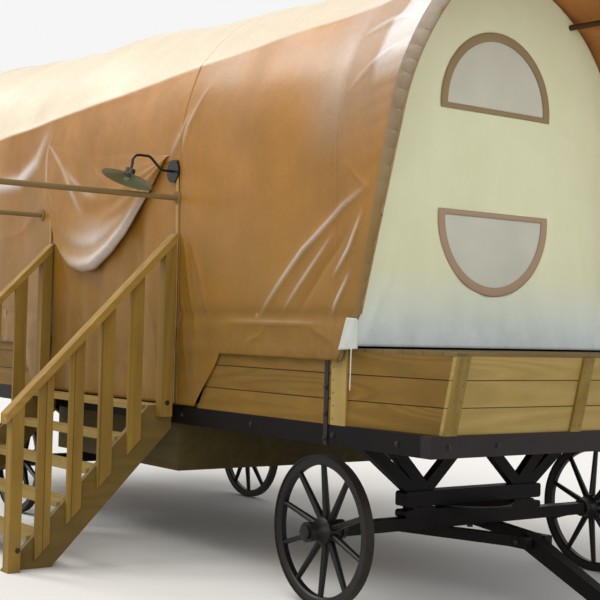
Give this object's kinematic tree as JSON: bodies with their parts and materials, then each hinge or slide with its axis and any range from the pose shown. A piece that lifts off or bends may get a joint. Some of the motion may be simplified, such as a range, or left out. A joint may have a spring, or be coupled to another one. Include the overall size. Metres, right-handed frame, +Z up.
{
  "type": "covered wagon",
  "caption": "Four-wheeled wagon with an arched cloth cover over bows, a front box porch, side stairs, a lamp and a steering front axle with a drawbar.",
  "frame": {"origin": "on the ground under the middle of the whole wagon's box, stairs, awning rods and drawbar included", "axes": "+X forward towards the drawbar, +Z up, the stairs at -Y"},
  "size_m": [8.3772, 3.862, 4.115],
  "materials": {
    "dark_timber": "satin",
    "wheel_iron": "satin",
    "strap_iron": "satin",
    "wall_pine": "satin",
    "stair_pine": "matte",
    "floor_board": "matte",
    "locker_ply": "matte",
    "cover_cloth": "satin",
    "end_cloth": "matte",
    "binding_cloth": "matte",
    "window_mesh": "matte",
    "awning_timber": "matte",
    "lamp_black": "satin",
    "lamp_green": "satin",
    "lamp_glass": "gloss"
  },
  "bodies": {
    "root": {"chassis_rails": "dark_timber", "cross_beams": "dark_timber", "bolsters": "dark_timber", "braces": "dark_timber", "axle_rear": "dark_timber", "turntable_upper": "wheel_iron", "side_straps": "strap_iron", "side_wall_near": "wall_pine", "side_wall_far": "wall_pine", "end_planks": "wall_pine", "corner_posts": "wall_pine", "porch_sides": "wall_pine", "porch_front": "wall_pine", "porch_top": "wall_pine", "porch_battens": "wall_pine", "stair_stringers": "stair_pine", "stair_treads": "stair_pine", "stair_newels": "stair_pine", "stair_balusters": "stair_pine", "stair_handrails": "stair_pine", "floor_deck": "floor_board", "door_posts": "floor_board", "bows": "floor_board", "purlins": "floor_board", "bonnet_hoops": "floor_board", "floor_locker": "locker_ply", "bonnet_front": "cover_cloth", "cover_front": "cover_cloth", "cover_door": "cover_cloth", "cover_rear": "cover_cloth", "bonnet_rear": "cover_cloth", "door_cloth": "cover_cloth", "awning_swag": "cover_cloth", "end_cloth_front": "end_cloth", "end_cloth_rear": "end_cloth", "window_bindings": "binding_cloth", "window_meshes": "window_mesh", "awning_rods": "awning_timber", "lamp_mount": "lamp_black", "lamp_arm": "lamp_black", "lamp_shade": "lamp_green", "lamp_bulb": "lamp_glass"},
    "front_axle": {"axle_front": "dark_timber", "lower_bolster": "dark_timber", "hounds": "dark_timber", "drawbar_pin": "wheel_iron"},
    "drawbar": {"drawbar": "dark_timber"},
    "wheel_front_near": {"hub_front_near": "dark_timber", "wheel_front_near": "dark_timber", "tyre_front_near": "wheel_iron"},
    "wheel_front_far": {"hub_front_far": "dark_timber", "wheel_front_far": "dark_timber", "tyre_front_far": "wheel_iron"},
    "wheel_rear_near": {"hub_rear_near": "dark_timber", "wheel_rear_near": "dark_timber", "tyre_rear_near": "wheel_iron"},
    "wheel_rear_far": {"hub_rear_far": "dark_timber", "wheel_rear_far": "dark_timber", "tyre_rear_far": "wheel_iron"}
  },
  "joints": [
    {"name": "steering", "type": "hinge", "parent": "root", "child": "front_axle", "pos_m": [2.91629, 0.669, 0.501], "axis": [0, 0, 1], "range_deg": [-35, 35]},
    {"name": "drawbar_lift", "type": "hinge", "parent": "front_axle", "child": "drawbar", "pos_m": [3.41629, 0.669, 0.353], "axis": [0, -1, 0], "range_deg": [0, 50]},
    {"name": "spin_front_near", "type": "hinge", "parent": "front_axle", "child": "wheel_front_near", "pos_m": [2.91629, -0.461, 0.42], "axis": [0, 1, 0], "continuous": true},
    {"name": "spin_front_far", "type": "hinge", "parent": "front_axle", "child": "wheel_front_far", "pos_m": [2.91629, 1.799, 0.42], "axis": [0, 1, 0], "continuous": true},
    {"name": "spin_rear_near", "type": "hinge", "parent": "root", "child": "wheel_rear_near", "pos_m": [-1.13371, -0.461, 0.42], "axis": [0, 1, 0], "continuous": true},
    {"name": "spin_rear_far", "type": "hinge", "parent": "root", "child": "wheel_rear_far", "pos_m": [-1.13371, 1.799, 0.42], "axis": [0, 1, 0], "continuous": true}
  ]
}
